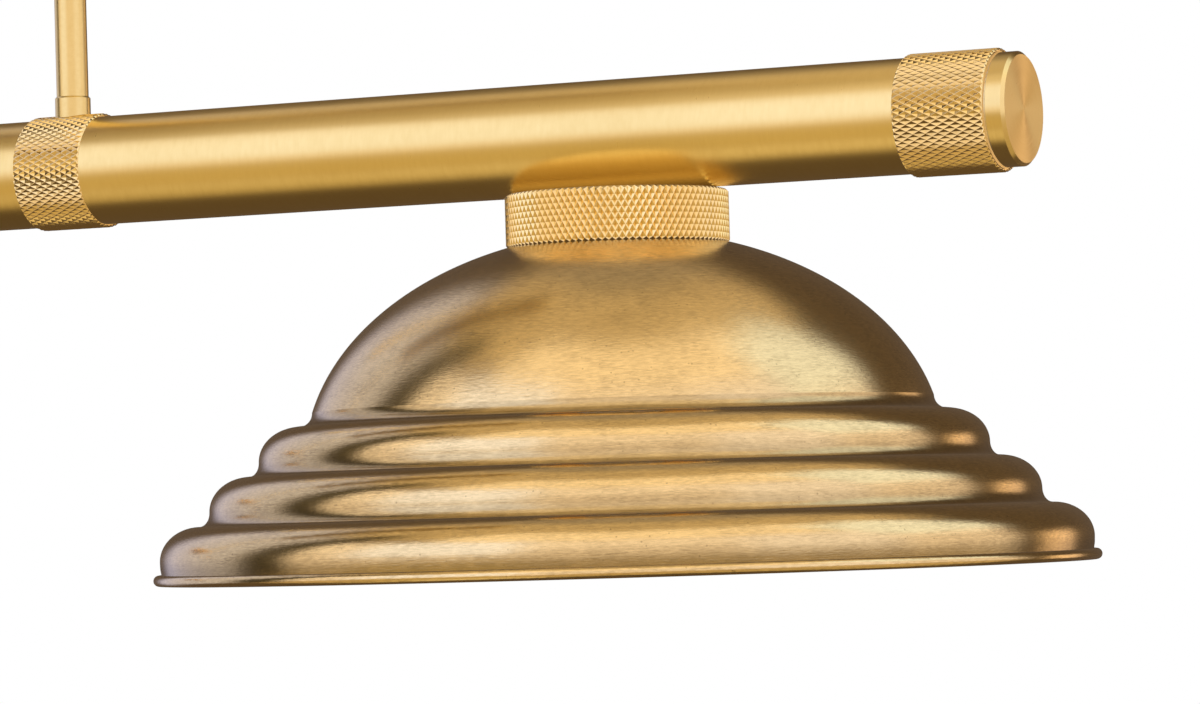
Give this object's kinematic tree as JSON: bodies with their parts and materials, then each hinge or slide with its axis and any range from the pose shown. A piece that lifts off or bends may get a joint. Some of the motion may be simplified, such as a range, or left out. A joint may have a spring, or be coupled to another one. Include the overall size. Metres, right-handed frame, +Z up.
{
  "type": "billiard light",
  "caption": "Billiard light: stepped bell shades on knurled necks under a straight bar that hangs on rods from a long canopy with ball swivels.",
  "frame": {"origin": "middle of the mounting strap's top face, on the ceiling, midway between its two ceiling-box slots", "axes": "+Z up to the ceiling, +X along the bar, -Y towards the front of the light"},
  "size_m": [1.3715, 0.3556, 0.7108],
  "materials": {
    "satin_brass": "satin brushed",
    "knurled_brass": "diamond knurled",
    "aged_brass": "rubbed and aged",
    "zinc_steel": "zinc plated",
    "shell_brass": "drawn",
    "contact_copper": "bright",
    "porcelain": "glazed porcelain",
    "green_paint": "green plated",
    "black_cover": "wire insulation",
    "white_cover": "wire insulation"
  },
  "bodies": {
    "ceiling_mount": {"canopy": "satin_brass", "mounting_strap": "zinc_steel", "strap_studs": "zinc_steel", "stud_nuts": "zinc_steel", "canopy_cap_nuts": "satin_brass", "ground_screw": "green_paint", "swivel_cup_left": "satin_brass", "swivel_cup_right": "satin_brass", "swivel_washers": "zinc_steel", "swivel_lock_nuts": "zinc_steel"},
    "hanging_frame": {"swivel_ball_left": "satin_brass", "swivel_ball_right": "satin_brass", "rod_couplers": "zinc_steel", "rod_nipples": "zinc_steel", "saddle_nuts": "zinc_steel", "end_plug_left": "zinc_steel", "end_plug_right": "zinc_steel", "neck_nipples": "zinc_steel", "upper_rod_left": "satin_brass", "upper_rod_right": "satin_brass", "lower_rod_left": "satin_brass", "lower_rod_right": "satin_brass", "rod_foot_left": "satin_brass", "rod_foot_right": "satin_brass", "bar_tube": "satin_brass", "end_cap_left": "satin_brass", "end_cap_right": "satin_brass", "rod_collar_left": "knurled_brass", "rod_collar_right": "knurled_brass", "end_sleeve_left": "knurled_brass", "end_sleeve_right": "knurled_brass", "neck_left": "knurled_brass", "neck_middle": "knurled_brass", "neck_right": "knurled_brass", "socket_left": "porcelain", "socket_middle": "porcelain", "socket_right": "porcelain", "socket_cap_left": "porcelain", "socket_cap_middle": "porcelain", "socket_cap_right": "porcelain", "screw_shell_left": "shell_brass", "screw_shell_middle": "shell_brass", "screw_shell_right": "shell_brass", "centre_contacts": "contact_copper", "shade_left": "aged_brass", "shade_middle": "aged_brass", "shade_right": "aged_brass", "shade_ring_left": "aged_brass", "shade_ring_middle": "aged_brass", "shade_ring_right": "aged_brass", "hot_lead": "black_cover", "neutral_lead": "white_cover"}
  },
  "joints": [
    {"name": "sway", "type": "hinge", "parent": "ceiling_mount", "child": "hanging_frame", "pos_m": [0, 0, -0.044], "axis": [1, 0, 0], "range_deg": [-25, 25]}
  ]
}
